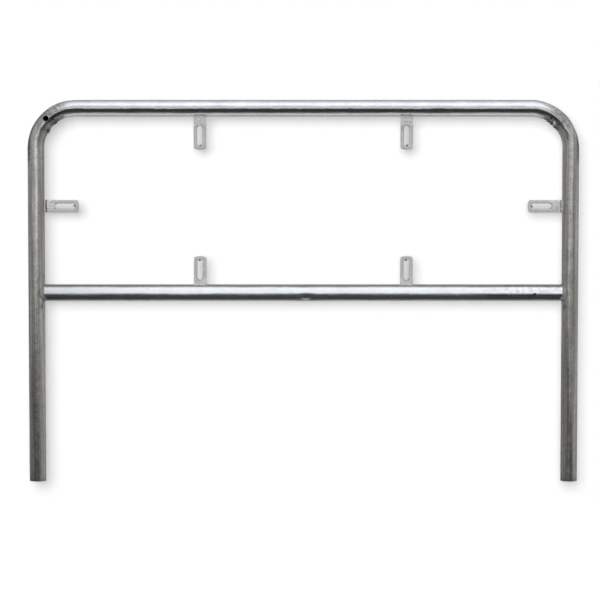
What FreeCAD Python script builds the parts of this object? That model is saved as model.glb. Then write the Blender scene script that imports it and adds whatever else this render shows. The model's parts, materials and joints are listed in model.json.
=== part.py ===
"""Tubular headache rack: a bent hoop with two open feet, a crossbar scalloped between its legs,
and six slotted lugs round the window between them that carry a guard panel.

Millimetres. +X to the right, +Y to the rear, +Z up. The origin is on the floor, midway between
the two feet, in the middle plane of the tubes.
"""

import math
import os

import FreeCAD
import Part

V = FreeCAD.Vector
X_AXIS, Y_AXIS, Z_AXIS = V(1, 0, 0), V(0, 1, 0), V(0, 0, 1)

# Overall frame
OVERALL_WIDTH = 1600.0
OVERALL_HEIGHT = 1110.0
BEND_RADIUS = 114.0  # to the tube's centreline
CROSSBAR_HEIGHT = 550.5  # the crossbar's centreline above the feet

# Round tube, the same for the hoop and the crossbar
TUBE_OD = 48.3
TUBE_WALL = 3.2

# Slotted lugs, cut from flat bar
LUG_WIDTH = 36.0
LUG_THICKNESS = 6.0
UPPER_LUG_REACH = 96.0  # from the top rail's surface to the tip
LOWER_LUG_REACH = 82.5  # from the crossbar's surface to the tip
SIDE_LUG_REACH = 100.0  # from the leg's surface to the tip
LUG_TIP_RISE = 3.8  # how far the tip bows out between its corners
LUG_CORNER_RADIUS = 4.0
SLOT_WIDTH = 15.0
SLOT_LENGTH = 60.0
SLOT_TIP_MARGIN = 10.0  # from the slot's end to the tip
LUG_COLUMN_OFFSET = 300.0  # the upper and lower lugs, each side of the middle
SIDE_LUG_HEIGHT = 802.0  # the side lugs above the feet

# Vent and drain holes for hot-dip galvanising
HOOP_VENT_DIAMETER = 16.0
HOOP_VENT_ANGLE = 44.0  # round the left bend, measured up from the horizontal
HOOP_VENT_OFFSET = 6.5  # outwards from the bend's centreline
CROSSBAR_VENT_DIAMETER = 5.0
CROSSBAR_VENT_FROM_LEG = 80.0  # from the leg's surface
CROSSBAR_VENT_DROP = 2.5  # below the crossbar's centreline

# Welds
WELD_LEG = 4.0
WELD_END_MARGIN = 0.5  # a lug's weld stops this short of the lug's edges

# Sizes that follow from those above
TUBE_R = TUBE_OD / 2
BORE_R = TUBE_R - TUBE_WALL
LEG_X = OVERALL_WIDTH / 2 - TUBE_R
TOP_RAIL_HEIGHT = OVERALL_HEIGHT - TUBE_R
BEND_CENTRE_X = LEG_X - BEND_RADIUS
BEND_CENTRE_Z = TOP_RAIL_HEIGHT - BEND_RADIUS
# The scallop's feathered tips are trimmed back to where the crossbar's full wall meets the leg.
EAR_TRIM = math.sqrt(TUBE_R**2 - BORE_R**2)
PAST = TUBE_OD  # how far a cutter runs past what it cuts


def rod(radius, start, end):
    """A solid cylinder between two points."""
    along = end - start
    return Part.makeCylinder(radius, along.Length, start, along)


def hoop_path():
    """The hoop's centreline: up the left leg, round, along the top and down the right leg."""
    reach = BEND_RADIUS * math.sin(math.radians(45))
    left_foot, left_bend_start = V(-LEG_X, 0, 0), V(-LEG_X, 0, BEND_CENTRE_Z)
    left_bend_middle = V(-BEND_CENTRE_X - reach, 0, BEND_CENTRE_Z + reach)
    left_bend_end = V(-BEND_CENTRE_X, 0, TOP_RAIL_HEIGHT)
    right_bend_start = V(BEND_CENTRE_X, 0, TOP_RAIL_HEIGHT)
    right_bend_middle = V(BEND_CENTRE_X + reach, 0, BEND_CENTRE_Z + reach)
    right_bend_end, right_foot = V(LEG_X, 0, BEND_CENTRE_Z), V(LEG_X, 0, 0)
    return Part.Wire(
        [
            Part.LineSegment(left_foot, left_bend_start).toShape(),
            Part.Arc(left_bend_start, left_bend_middle, left_bend_end).toShape(),
            Part.LineSegment(left_bend_end, right_bend_start).toShape(),
            Part.Arc(right_bend_start, right_bend_middle, right_bend_end).toShape(),
            Part.LineSegment(right_bend_end, right_foot).toShape(),
        ]
    )


def swept_round(path, radius):
    """A solid of round section along a path that starts upwards from the left foot."""
    section = Part.Wire(Part.Circle(V(-LEG_X, 0, 0), Z_AXIS, radius).toShape())
    return path.makePipeShell([section], True, False)


def make_hoop():
    path = hoop_path()
    hoop = swept_round(path, TUBE_R).cut(swept_round(path, BORE_R))
    angle = math.radians(HOOP_VENT_ANGLE)
    vent_reach = BEND_RADIUS + HOOP_VENT_OFFSET
    vent_x = -BEND_CENTRE_X - vent_reach * math.cos(angle)
    vent_z = BEND_CENTRE_Z + vent_reach * math.sin(angle)
    vent = rod(HOOP_VENT_DIAMETER / 2, V(vent_x, -PAST, vent_z), V(vent_x, 0, vent_z))
    return hoop.cut(vent)


def make_crossbar():
    """A tube scalloped at both ends to sit on the legs, its feathered tips trimmed square."""
    half = LEG_X - EAR_TRIM
    start, end = V(-half, 0, CROSSBAR_HEIGHT), V(half, 0, CROSSBAR_HEIGHT)
    bar = rod(TUBE_R, start, end).cut(rod(BORE_R, start - X_AXIS, end + X_AXIS))
    for side in (-1, 1):
        leg = rod(TUBE_R, V(side * LEG_X, 0, 0), V(side * LEG_X, 0, BEND_CENTRE_Z))
        bar = bar.cut(leg)
    vent_x = LEG_X - TUBE_R - CROSSBAR_VENT_FROM_LEG
    vent_z = CROSSBAR_HEIGHT - CROSSBAR_VENT_DROP
    # One vent in the front wall at the right, one in the rear wall at the left.
    for side in (-1, 1):
        inside, outside = V(side * vent_x, 0, vent_z), V(side * vent_x, -side * PAST, vent_z)
        bar = bar.cut(rod(CROSSBAR_VENT_DIAMETER / 2, inside, outside))
    return bar


def make_crossbar_weld(side, crossbar):
    """The ring of weld between one end of the crossbar and its leg."""
    leg_axis = side * LEG_X
    low, high = CROSSBAR_HEIGHT - PAST, CROSSBAR_HEIGHT + PAST
    inner, outer = leg_axis - side * PAST, leg_axis - side * (EAR_TRIM - WELD_LEG)
    bar_start, bar_end = V(inner, 0, CROSSBAR_HEIGHT), V(outer, 0, CROSSBAR_HEIGHT)
    leg_low, leg_high = V(leg_axis, 0, low), V(leg_axis, 0, high)
    ring = rod(TUBE_R + WELD_LEG, bar_start, bar_end)
    ring = ring.common(rod(TUBE_R + WELD_LEG, leg_low, leg_high))
    ring = ring.cut(rod(TUBE_R, leg_low, leg_high))
    ring = ring.cut(rod(BORE_R, bar_start, bar_end))
    return ring.cut(crossbar)


def lug_outline(reach):
    """The lug seen from the front, standing up from a tube whose axis runs through the origin."""
    half, tip = LUG_WIDTH / 2, TUBE_R + reach
    shoulder = tip - LUG_TIP_RISE
    corners = [V(-half, 0, 0), V(-half, 0, shoulder), V(half, 0, shoulder), V(half, 0, 0)]
    return Part.Wire(
        [
            Part.LineSegment(corners[0], corners[1]).toShape(),
            Part.Arc(corners[1], V(0, 0, tip), corners[2]).toShape(),
            Part.LineSegment(corners[2], corners[3]).toShape(),
            Part.LineSegment(corners[3], corners[0]).toShape(),
        ]
    )


def is_tip_corner(edge, shoulder):
    """Whether an edge runs through the plate's thickness at one of the tip's two corners."""
    first, last = (vertex.Point for vertex in edge.Vertexes[:2])
    across = abs(first.y - last.y) > LUG_THICKNESS / 2
    return across and abs(first.z - shoulder) < 1e-6 and abs(last.z - shoulder) < 1e-6


def standing_lug(reach):
    """A slotted lug on a tube that runs along X through the origin, pointing up."""
    plate = Part.Face(lug_outline(reach)).extrude(Y_AXIS * LUG_THICKNESS)
    plate.translate(-Y_AXIS * LUG_THICKNESS / 2)
    shoulder = TUBE_R + reach - LUG_TIP_RISE
    corners = [edge for edge in plate.Edges if is_tip_corner(edge, shoulder)]
    plate = plate.makeFillet(LUG_CORNER_RADIUS, corners)
    slot_r = SLOT_WIDTH / 2
    slot_top = TUBE_R + reach - SLOT_TIP_MARGIN - slot_r
    slot_bottom = slot_top - (SLOT_LENGTH - SLOT_WIDTH)
    for height in (slot_bottom, slot_top):
        plate = plate.cut(rod(slot_r, V(0, -PAST, height), V(0, PAST, height)))
    middle = Part.makeBox(SLOT_WIDTH, 2 * PAST, slot_top - slot_bottom, V(-slot_r, -PAST, slot_bottom))
    plate = plate.cut(middle)
    return plate.cut(rod(TUBE_R, V(-LUG_WIDTH, 0, 0), V(LUG_WIDTH, 0, 0)))


def standing_lug_weld(face):
    """The fillet weld along a standing lug's root, on its front (-1) or rear (1) face."""
    root = math.sqrt(TUBE_R**2 - (LUG_THICKNESS / 2) ** 2)
    half = LUG_WIDTH / 2 - WELD_END_MARGIN - WELD_LEG
    start, end = V(-half, face * LUG_THICKNESS / 2, root), V(half, face * LUG_THICKNESS / 2, root)
    bead = rod(WELD_LEG, start, end)
    bead = bead.fuse([Part.makeSphere(WELD_LEG, start), Part.makeSphere(WELD_LEG, end)])
    bead = bead.cut(rod(TUBE_R, V(-LUG_WIDTH, 0, 0), V(LUG_WIDTH, 0, 0)))
    lug_body = Part.makeBox(
        2 * LUG_WIDTH, LUG_THICKNESS, 2 * TUBE_R, V(-LUG_WIDTH, -LUG_THICKNESS / 2, 0)
    )
    return bead.cut(lug_body).removeSplitter()


def set_on_tube(shape, axis_point, turn):
    """Turns a standing piece about Y and moves it onto the tube through a point."""
    placed = shape.copy()
    placed.rotate(V(0, 0, 0), Y_AXIS, turn)
    placed.translate(axis_point)
    return placed


def lug_places():
    """Each lug's name, a point on its tube's axis, its turn about Y and its reach."""
    top, bar = TOP_RAIL_HEIGHT, CROSSBAR_HEIGHT
    return [
        ("upper_left_lug", V(-LUG_COLUMN_OFFSET, 0, top), 180, UPPER_LUG_REACH),
        ("upper_right_lug", V(LUG_COLUMN_OFFSET, 0, top), 180, UPPER_LUG_REACH),
        ("lower_left_lug", V(-LUG_COLUMN_OFFSET, 0, bar), 0, LOWER_LUG_REACH),
        ("lower_right_lug", V(LUG_COLUMN_OFFSET, 0, bar), 0, LOWER_LUG_REACH),
        ("left_side_lug", V(-LEG_X, 0, SIDE_LUG_HEIGHT), 90, SIDE_LUG_REACH),
        ("right_side_lug", V(LEG_X, 0, SIDE_LUG_HEIGHT), -90, SIDE_LUG_REACH),
    ]


def make_lugs_and_welds():
    pieces = {}
    for name, axis_point, turn, reach in lug_places():
        pieces[name] = set_on_tube(standing_lug(reach), axis_point, turn)
        for label, face in (("front", -1), ("rear", 1)):
            weld = set_on_tube(standing_lug_weld(face), axis_point, turn)
            pieces[f"{name}_{label}_weld"] = weld
    return pieces


def main():
    crossbar = make_crossbar()
    pieces = {"hoop": make_hoop(), "crossbar": crossbar}
    pieces["left_crossbar_weld"] = make_crossbar_weld(-1, crossbar)
    pieces["right_crossbar_weld"] = make_crossbar_weld(1, crossbar)
    pieces.update(make_lugs_and_welds())
    os.makedirs("parts", exist_ok=True)
    for name, shape in pieces.items():
        solids = shape.Solids
        if len(solids) == 1:
            shape = solids[0]
        print(f"{name}: {len(solids)} solid, valid {shape.isValid()}, {shape.Volume:.1f} mm3")
        shape.exportStep(os.path.join("parts", name + ".step"))


main()
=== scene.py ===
"""Looks of a hot-dip galvanised tube rack: a bent hoop, a crossbar and six slotted lugs, all welded."""

import json
import math

import bmesh
import bpy
from bpy.props import FloatProperty, FloatVectorProperty, PointerProperty
from mathutils import Matrix, Vector, noise


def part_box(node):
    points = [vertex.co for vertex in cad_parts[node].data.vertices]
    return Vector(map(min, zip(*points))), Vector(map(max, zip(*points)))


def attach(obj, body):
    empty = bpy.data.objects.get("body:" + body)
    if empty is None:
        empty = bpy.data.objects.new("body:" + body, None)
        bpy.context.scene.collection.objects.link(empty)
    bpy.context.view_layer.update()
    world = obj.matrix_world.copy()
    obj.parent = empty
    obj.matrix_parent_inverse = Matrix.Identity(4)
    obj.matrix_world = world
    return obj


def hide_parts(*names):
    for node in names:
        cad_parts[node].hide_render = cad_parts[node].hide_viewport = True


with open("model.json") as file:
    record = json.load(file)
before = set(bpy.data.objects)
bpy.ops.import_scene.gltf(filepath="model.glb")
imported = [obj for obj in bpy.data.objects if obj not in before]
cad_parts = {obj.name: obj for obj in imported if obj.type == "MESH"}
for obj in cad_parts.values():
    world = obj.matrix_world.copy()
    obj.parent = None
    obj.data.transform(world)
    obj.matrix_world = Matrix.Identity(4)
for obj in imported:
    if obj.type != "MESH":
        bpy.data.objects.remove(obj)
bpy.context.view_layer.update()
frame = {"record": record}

bl_info = {
    "name": "Tube Rack",
    "version": (1, 0, 0),
    "blender": (4, 5, 0),
    "location": "View3D > Sidebar > Rack",
    "description": "Builds the galvanised finish of a tubular headache rack",
    "category": "Object",
}

MM = 0.001
BODY = "root"
LUG_MOUNTS = {
    "upper_left_lug": "left_column_slots",
    "upper_right_lug": "right_column_slots",
    "lower_left_lug": "left_column_slots",
    "lower_right_lug": "right_column_slots",
    "left_side_lug": "side_slots",
    "right_side_lug": "side_slots",
}
LUGS = tuple(LUG_MOUNTS)


def mount(name):
    """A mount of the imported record."""
    return next(m for m in frame["record"]["mounts"] if m["name"] == name)


HOOP_HIGH = Vector(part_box("hoop")[1])
BAR_LOW, BAR_HIGH = (Vector(corner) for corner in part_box("crossbar"))
TUBE_R = mount("left_leg")["dims"]["r_mm"] * MM
LEG_X = HOOP_HIGH.x - TUBE_R
RAIL_Z = HOOP_HIGH.z - TUBE_R
BAR_Z = (BAR_LOW.z + BAR_HIGH.z) / 2


# ---------------------------------------------------------------- sizes and colours


class RackSizes(bpy.types.PropertyGroup):
    """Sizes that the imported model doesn't state."""

    bend_radius: FloatProperty(
        name="Bend radius", description="Of the tube's centreline", default=0.114, unit="LENGTH"
    )
    wall: FloatProperty(name="Wall", description="Of the tubes", default=0.0032, unit="LENGTH")
    vent: FloatProperty(
        name="Hoop vent", description="Diameter of the vent in the left bend", default=0.017, unit="LENGTH"
    )
    vent_angle: FloatProperty(
        name="Vent angle",
        description="Round the left bend, up from the horizontal",
        default=math.radians(45.5),
        subtype="ANGLE",
    )
    vent_offset: FloatProperty(
        name="Vent offset", description="Outwards from the bend's centreline", default=0.0038, unit="LENGTH"
    )
    bar_vent: FloatProperty(
        name="Crossbar vent", description="Diameter of the crossbar's vents", default=0.005, unit="LENGTH"
    )
    bar_vent_inset: FloatProperty(
        name="Crossbar vent inset",
        description="From the leg's surface to the vent",
        default=0.080,
        unit="LENGTH",
    )
    bar_vent_drop: FloatProperty(
        name="Crossbar vent drop",
        description="Below the crossbar's centreline",
        default=0.0025,
        unit="LENGTH",
    )
    weld_leg: FloatProperty(name="Weld size", description="Leg of each bead", default=0.004, unit="LENGTH")


class ZincColours(bpy.types.PropertyGroup):
    """Colours of the zinc."""

    bright: FloatVectorProperty(
        name="Bright zinc",
        description="Fresh, shiny zinc on the rail and the crossbar",
        subtype="COLOR",
        default=(0.62, 0.635, 0.655),
        min=0,
        max=1,
    )
    # On the legs this darker zinc is partly painted shade: the legs reflect a dim room, while the rail
    # reflects the bright one.
    dull: FloatVectorProperty(
        name="Dull zinc",
        description="Weathered, matt zinc on the legs",
        subtype="COLOR",
        default=(0.485, 0.49, 0.478),
        min=0,
        max=1,
    )
    warm: FloatVectorProperty(
        name="Warm zinc",
        description="Browner patches in the dull zinc",
        subtype="COLOR",
        default=(0.51, 0.485, 0.462),
        min=0,
        max=1,
    )
    plate: FloatVectorProperty(
        name="Plate zinc",
        description="Zinc on the lugs",
        subtype="COLOR",
        default=(0.72, 0.72, 0.72),
        min=0,
        max=1,
    )
    stain: FloatVectorProperty(
        name="Stain",
        description="Flux and weld stain round the roots",
        subtype="COLOR",
        default=(0.83, 0.82, 0.77),
        min=0,
        max=1,
    )
    # Painted shade in the bends' wrinkles; also the colour of the dark scar and of the darker cut feet.
    scorch: FloatVectorProperty(
        name="Scorch",
        description="Burnt zinc in the bends' wrinkles",
        subtype="COLOR",
        default=(0.06, 0.06, 0.055),
        min=0,
        max=1,
    )


# Shades that scale, weather and handling leave in the zinc, with painted shade and a painted glint among
# them.
GREY_SPANGLE = (0.40, 0.40, 0.40)
DARK_SPANGLE = (0.25, 0.26, 0.23)
DARK_STREAK = (0.27, 0.265, 0.25)
PALE_STREAK = (0.72, 0.71, 0.70)
SPECK = (0.2, 0.2, 0.2)
BEND_MOTTLE_AND_SHADE = (0.24, 0.245, 0.25)
SHADED_FLANK = (0.10, 0.115, 0.09)
SHADED_RIM = (0.10, 0.10, 0.10)
LEFT_END_SHADE = (0.36, 0.38, 0.385)
ROUGH_END = (0.30, 0.31, 0.30)
LAPPED_END = (0.20, 0.195, 0.185)
TARNISH = (0.64, 0.65, 0.55)
BURR_AND_GLINT = (0.88, 0.88, 0.88)
BORE_SHADE = (0.006, 0.006, 0.006)
SLOT_AND_TOE_SHADE = (0.075, 0.075, 0.065)


def sizes():
    return bpy.context.scene.rack_sizes


def colours():
    return bpy.context.scene.zinc_colours


# ---------------------------------------------------------------- shader nodes


class Wire:
    """A value socket in a shader, with arithmetic."""

    def __init__(self, nodes, socket):
        self.nodes, self.socket = nodes, socket

    def maths(self, operation, *others):
        return self.nodes.maths(operation, self, *others)

    def __add__(self, other):
        return self.maths("ADD", other)

    __radd__ = __add__

    def __sub__(self, other):
        return self.maths("SUBTRACT", other)

    def __rsub__(self, other):
        return self.nodes.maths("SUBTRACT", other, self)

    def __mul__(self, other):
        return self.maths("MULTIPLY", other)

    __rmul__ = __mul__

    def __truediv__(self, other):
        return self.maths("DIVIDE", other)

    def __rtruediv__(self, other):
        return self.nodes.maths("DIVIDE", other, self)

    def __neg__(self):
        return self * -1

    def __abs__(self):
        return self.maths("ABSOLUTE")

    def ramp(self, start, end, low=0.0, high=1.0):
        """Smoothly from low at start to high at end."""
        settings = {"interpolation_type": "SMOOTHSTEP"}
        inputs = {"Value": self, "From Min": start, "From Max": end, "To Min": low, "To Max": high}
        return self.nodes.add("ShaderNodeMapRange", settings, inputs)

    def near(self, centre, inner, outer):
        """1 within inner of the centre, and smoothly down to 0 at outer."""
        return abs(self - centre).ramp(inner, outer, 1.0, 0.0)


class Nodes:
    """The nodes of one material or world."""

    def __init__(self, tree):
        self.tree = tree
        tree.nodes.clear()

    def add(self, kind, settings=None, inputs=None, output=0):
        """Adds a node: its settings first, then its sockets' values or links. Returns one output."""
        node = self.tree.nodes.new(kind)
        for name, value in (settings or {}).items():
            if name == "stops":
                self.set_stops(node.color_ramp, value)
            else:
                setattr(node, name, value)
        for name, value in (inputs or {}).items():
            if isinstance(value, Wire):
                self.tree.links.new(value.socket, node.inputs[name])
            else:
                node.inputs[name].default_value = value
        if not node.outputs:
            return node
        return Wire(self, node.outputs[output])

    @staticmethod
    def set_stops(ramp, stops):
        ramp.interpolation = "LINEAR"
        while len(ramp.elements) < len(stops):
            ramp.elements.new(1.0)
        for element, (place, colour) in zip(ramp.elements, stops):
            element.position, element.color = place, colour

    def maths(self, operation, *values):
        return self.add("ShaderNodeMath", {"operation": operation}, dict(enumerate(values)))

    def object_place(self):
        return self.add("ShaderNodeTexCoord", output="Object")

    def unrolled_place(self, radius):
        """The tube laid out straight: along it in X, and round it in Y and Z."""
        uv = self.add("ShaderNodeUVMap", {"uv_map": "unrolled"})
        along = self.add("ShaderNodeSeparateXYZ", inputs={0: uv}, output="X")
        turn = self.add("ShaderNodeSeparateXYZ", inputs={0: uv}, output="Y") * (2 * math.pi)
        return self.vector(along, turn.maths("COSINE") * radius, turn.maths("SINE") * radius)

    def vector(self, x, y, z):
        return self.add("ShaderNodeCombineXYZ", inputs={"X": x, "Y": y, "Z": z})

    def parts(self, vector):
        return [
            self.add("ShaderNodeSeparateXYZ", inputs={0: vector}, output=axis) for axis in ("X", "Y", "Z")
        ]

    def stretched(self, place, scale):
        return self.add("ShaderNodeMapping", inputs={"Vector": place, "Scale": scale})

    def cloud(self, place, scale, detail=3.0, roughness=0.55):
        """Soft noise about 0.5."""
        inputs = {"Vector": place, "Scale": scale, "Detail": detail, "Roughness": roughness}
        return self.add("ShaderNodeTexNoise", inputs=inputs)

    def mix_colour(self, amount, first, second):
        settings = {"data_type": "RGBA"}
        inputs = {0: amount, 6: rgba(first), 7: rgba(second)}
        return self.add("ShaderNodeMix", settings, inputs, output=2)

    def multiply(self, first, second):
        settings = {"data_type": "RGBA", "blend_type": "MULTIPLY"}
        return self.add("ShaderNodeMix", settings, {0: 1.0, 6: first, 7: second}, output=2)

    def attribute(self, name):
        return self.add("ShaderNodeAttribute", {"attribute_name": name}, output="Fac")

    def bump(self, height, distance, strength=1.0, under=None):
        inputs = {"Height": height, "Distance": distance, "Strength": strength}
        if under is not None:
            inputs["Normal"] = under
        return self.add("ShaderNodeBump", inputs=inputs)


def rgba(colour):
    """A colour with full alpha. A colour that comes through a wire stays as it is."""
    return colour if isinstance(colour, Wire) else (*colour, 1.0)


def finish_metal(nodes, colour, roughness, normal, metallic):
    metal = nodes.add(
        "ShaderNodeBsdfPrincipled",
        inputs={"Base Color": colour, "Roughness": roughness, "Metallic": metallic, "Normal": normal},
    )
    nodes.add("ShaderNodeOutputMaterial", inputs={"Surface": metal})


def new_material(name):
    material = bpy.data.materials.new(name)
    material.use_nodes = True
    return material, Nodes(material.node_tree)


class TubeZinc:
    """What both tubes' finishes share: shiny where dulled is 0, and matt and streaked where it is 1."""

    def __init__(self, name):
        _, self.nodes = new_material(name)
        self.along = self.nodes.unrolled_place(TUBE_R)
        self.x, _, self.z = self.nodes.parts(self.nodes.object_place())
        _, self.out, self.depth = self.nodes.parts(self.along)
        self.patch = self.nodes.cloud(self.along, 22.0, 4.0)
        self.spangle = self.nodes.cloud(self.along, 130.0, 3.0)

    def streaks(self, place, scale):
        return self.nodes.cloud(self.nodes.stretched(place, scale), 1.0, 3.0)

    def shiny(self, greyed):
        """Two bright shades in soft patches, with grey spangles."""
        bright = colours().bright
        colour = self.nodes.mix_colour(self.patch.ramp(0.35, 0.7), Vector(bright) * 0.93, bright)
        return self.nodes.mix_colour(self.spangle.ramp(0.35, 0.6, greyed, 0.0), colour, GREY_SPANGLE)

    def matt(self, streak):
        """Dull and warm patches under dark and pale streaks, with dark spangles."""
        nodes = self.nodes
        tone = nodes.cloud(nodes.stretched(self.along, (5.0, 90.0, 90.0)), 1.0, 2.0)
        colour = nodes.mix_colour(tone.ramp(0.4, 0.6), colours().dull, colours().warm)
        colour = nodes.mix_colour(streak.ramp(0.36, 0.62, 0.62, 0.0), colour, DARK_STREAK)
        colour = nodes.mix_colour(streak.ramp(0.50, 0.68, 0.0, 0.6), colour, PALE_STREAK)
        return nodes.mix_colour(self.spangle.ramp(0.33, 0.55, 0.35, 0.0), colour, DARK_SPANGLE)

    def finish(self, colour, streak, dulled, metallic, rougher=0.0):
        """Adds specks, dark marks with painted shade in the bends' wrinkles, bright burrs with a painted
        glint, the bore painted black as shade, and the bumps.
        """
        nodes, along = self.nodes, self.along
        speck = nodes.cloud(along, 420.0, 2.0).ramp(0.60, 0.72)
        colour = nodes.mix_colour(speck * 0.25, colour, SPECK)
        # Painted shade in the bends' wrinkles, with the dark scar and the darker cut feet.
        scorch = nodes.attribute("scorch") * nodes.cloud(along, 160.0, 3.0).ramp(0.30, 0.62, 0.55, 1.0)
        colour = nodes.mix_colour(scorch, colour, colours().scorch)
        # Painted glint: a bright white spot on the right bend, and the bright burrs round the holes.
        colour = nodes.mix_colour(nodes.attribute("burr"), colour, BURR_AND_GLINT)
        # Painted shade: the inside of the tube and the holes' walls are made near-black.
        bore = nodes.attribute("bore")
        colour = nodes.mix_colour(bore, colour, BORE_SHADE)
        roughness = (self.patch * 0.08 + 0.10) * (1 - dulled) + (streak * 0.12 + 0.20) * dulled
        roughness = roughness + bore * 0.4 + rougher
        swell = nodes.bump(nodes.cloud(nodes.stretched(along, (14.0, 30.0, 30.0)), 1.0, 2.0), 0.0016)
        spangled = nodes.bump(self.spangle, 0.00018, 1.0, swell)
        grain = nodes.bump(nodes.cloud(along, 500.0, 2.0), 0.00004, 1.0, spangled)
        finish_metal(nodes, colour, roughness, grain, metallic)


def hoop_zinc():
    """Shiny on the rail, mottled and partly shaded in the bends, and dull and streaked down the legs, with
    painted light and shade on the legs.
    """
    tube = TubeZinc("hoop_zinc")
    nodes, x, z = tube.nodes, tube.x, tube.z
    bend = sizes().bend_radius
    streak = tube.streaks(tube.along, (3.0, 150.0, 150.0))
    # Grey mottle in the bends, partly painted shade: it dims the rail's highlight where the tube turns,
    # sooner on the left than on the right.
    turned = abs(x - 0.1 * bend).ramp(LEG_X - bend * 0.82, LEG_X - bend * 0.34)
    mottled = turned * nodes.cloud(tube.along, 110.0, 5.0, 0.7).ramp(0.38, 0.62, 0.30, 1.0)
    bright = nodes.mix_colour(mottled, tube.shiny(0.18), BEND_MOTTLE_AND_SHADE)
    # Painted light and shade on the legs, multiplied into their dull zinc.
    level = leg_light_and_shade(x, z)
    dull = nodes.multiply(tube.matt(streak), nodes.vector(level, level, level))
    front = tube.depth.ramp(-TUBE_R * 0.30, TUBE_R * 0.05, 1.0, 0.0)
    flank = (abs(x) - LEG_X).ramp(TUBE_R * 0.45, TUBE_R * 0.85)
    flank = flank * z.near(RAIL_Z - bend * 0.95, bend * 0.25, bend * 0.6)
    flank = flank * front * nodes.cloud(tube.along, 120.0, 4.0).ramp(0.40, 0.60, 0.35, 1.0)
    dull = nodes.mix_colour(flank, dull, SHADED_FLANK)
    # The legs take the darker, rougher zinc. The darker colour is partly painted shade.
    dulled = leg_zone(x, z, tube.out)
    colour = nodes.mix_colour(dulled, bright, dull)
    rim = tube.out.ramp(TUBE_R * 0.55, TUBE_R * 0.86) * front
    rim = rim * z.ramp(RAIL_Z - bend * 1.4, RAIL_Z - bend)
    rim = rim * abs(x).ramp(LEG_X - bend * 0.45, LEG_X - bend * 0.20)
    colour = nodes.mix_colour(rim * x.ramp(-LEG_X, LEG_X, 0.75, 0.35), colour, SHADED_RIM)
    # Where the glint is painted the zinc is made mostly non-metal, so that the key lamp lights it white.
    tube.finish(colour, streak, dulled, 1 - nodes.attribute("burr") * 0.8)


def crossbar_zinc():
    """Shiny between the legs, greyed to the left as painted shade, rough to the right, and matt where the
    ends lap the legs.
    """
    tube = TubeZinc("crossbar_zinc")
    nodes, x = tube.nodes, tube.x
    streak = tube.streaks(nodes.object_place(), (150.0, 150.0, 3.0))
    # Painted shade: the crossbar's highlight is greyed towards its left end.
    bright = nodes.mix_colour(x.ramp(-LEG_X, -LEG_X * 0.55, 0.5, 0.0), tube.shiny(0.06), LEFT_END_SHADE)
    rough_end = x.ramp(LEG_X * 0.66, LEG_X * 0.76) * nodes.cloud(tube.along, 60.0, 4.0).ramp(0.36, 0.64)
    bright = nodes.mix_colour(rough_end * 0.38, bright, ROUGH_END)
    tarnish = nodes.attribute("tarnish")
    bright = nodes.mix_colour(tarnish, bright, TARNISH)
    dull = nodes.mix_colour(0.6, tube.matt(streak), LAPPED_END)
    lapped = abs(x).ramp(LEG_X - TUBE_R - 0.4 * MM, LEG_X - TUBE_R + 0.8 * MM)
    colour = nodes.mix_colour(lapped, bright, dull)
    metallic = (1 - lapped * 0.7) * (1 - tarnish * 0.9)
    rougher = lapped * 0.3 + x.ramp(LEG_X * 0.60, LEG_X * 0.80, 0.12, 0.03)
    tube.finish(colour, streak, lapped, metallic, rougher)


def leg_zone(x, z, out):
    """From 0 on the hoop's rail to 1 on its legs, turning in the bends."""
    bend = sizes().bend_radius
    upright = abs(x).near(LEG_X, TUBE_R * 1.3, TUBE_R * 2.6)
    lower = (x.maths("SIGN") + 1) * out.ramp(-TUBE_R * 0.5, TUBE_R * 0.3, 0.0, bend * 0.08)
    return upright * (z + lower).ramp(RAIL_Z - bend * 0.55, RAIL_Z - bend * 0.12, 1.0, 0.0)


def leg_light_and_shade(x, z):
    """Painted light and shade on the legs: paler above, a painted shade along the middle of the feet, a
    painted highlight line down the front, a painted dark line beside it, and paler below the right bend's
    inner side.
    """
    bend = sizes().bend_radius
    side = x.maths("SIGN")
    on_right = (side + 1) * 0.5
    across = (x - side * LEG_X) / TUBE_R
    height = z.ramp(0.06, 0.86)
    right = across.ramp(0.2, 0.9)
    left = across.ramp(-0.7, -0.2, 0.08, 0.0) * on_right
    flank = (1 - height) * (right * 0.36) + height * (left + 0.10) + 1.08
    middle = across.near(-0.14, 0.15, 0.80)
    # Painted highlight: the pale line down the front of each leg.
    line = (across + side * 0.05).near(0.07, 0.03, 0.15) * z.ramp(0.45, 0.95)
    # Painted reflection: a dark line beside the pale one.
    dark_reflection_line = across.near(0.30, 0.02, 0.14) * height
    # Painted light: the right leg's inner side below its bend is made paler.
    inner = across.ramp(-1.2, 0.2, 0.5, 0.0) * on_right
    inner = inner * z.ramp(RAIL_Z - bend * 1.15, RAIL_Z - bend * 0.8)
    # Painted shade: the middle of each leg darkens towards the foot.
    level = flank * (1 - middle) + (height * 0.74 + 0.56) * middle
    return (level + line * 0.20 - dark_reflection_line * 0.22) * (1 + inner)


def slot_arch_shade(across, past_root_end):
    """Painted shade at the slot's root end: a dark arch round it, faint in the middle."""
    slot_r = slot_sizes(LUGS[0])[0]
    reach = (across * across + past_root_end * past_root_end).maths("SQRT")
    arch = reach.ramp(slot_r + 0.8 * MM, slot_r + 3.2 * MM, 1.0, 0.0)
    arch = arch * past_root_end.ramp(-3 * MM, 0.5 * MM, 1.0, 0.0)
    return arch * abs(across).ramp(1.5 * MM, 5 * MM, 0.3, 0.85)


def weld_toe_shade(nodes, place, from_tube):
    """Painted shade along the toe of a side lug's weld: a broken dark line."""
    toe = nodes.attribute("toe")
    line = from_tube.near(toe * 5.0 * MM, 1.0 * MM, 2.6 * MM)
    return line * toe.ramp(0.1, 0.3) * nodes.cloud(place, 230.0, 2.0).ramp(0.26, 0.46)


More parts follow.
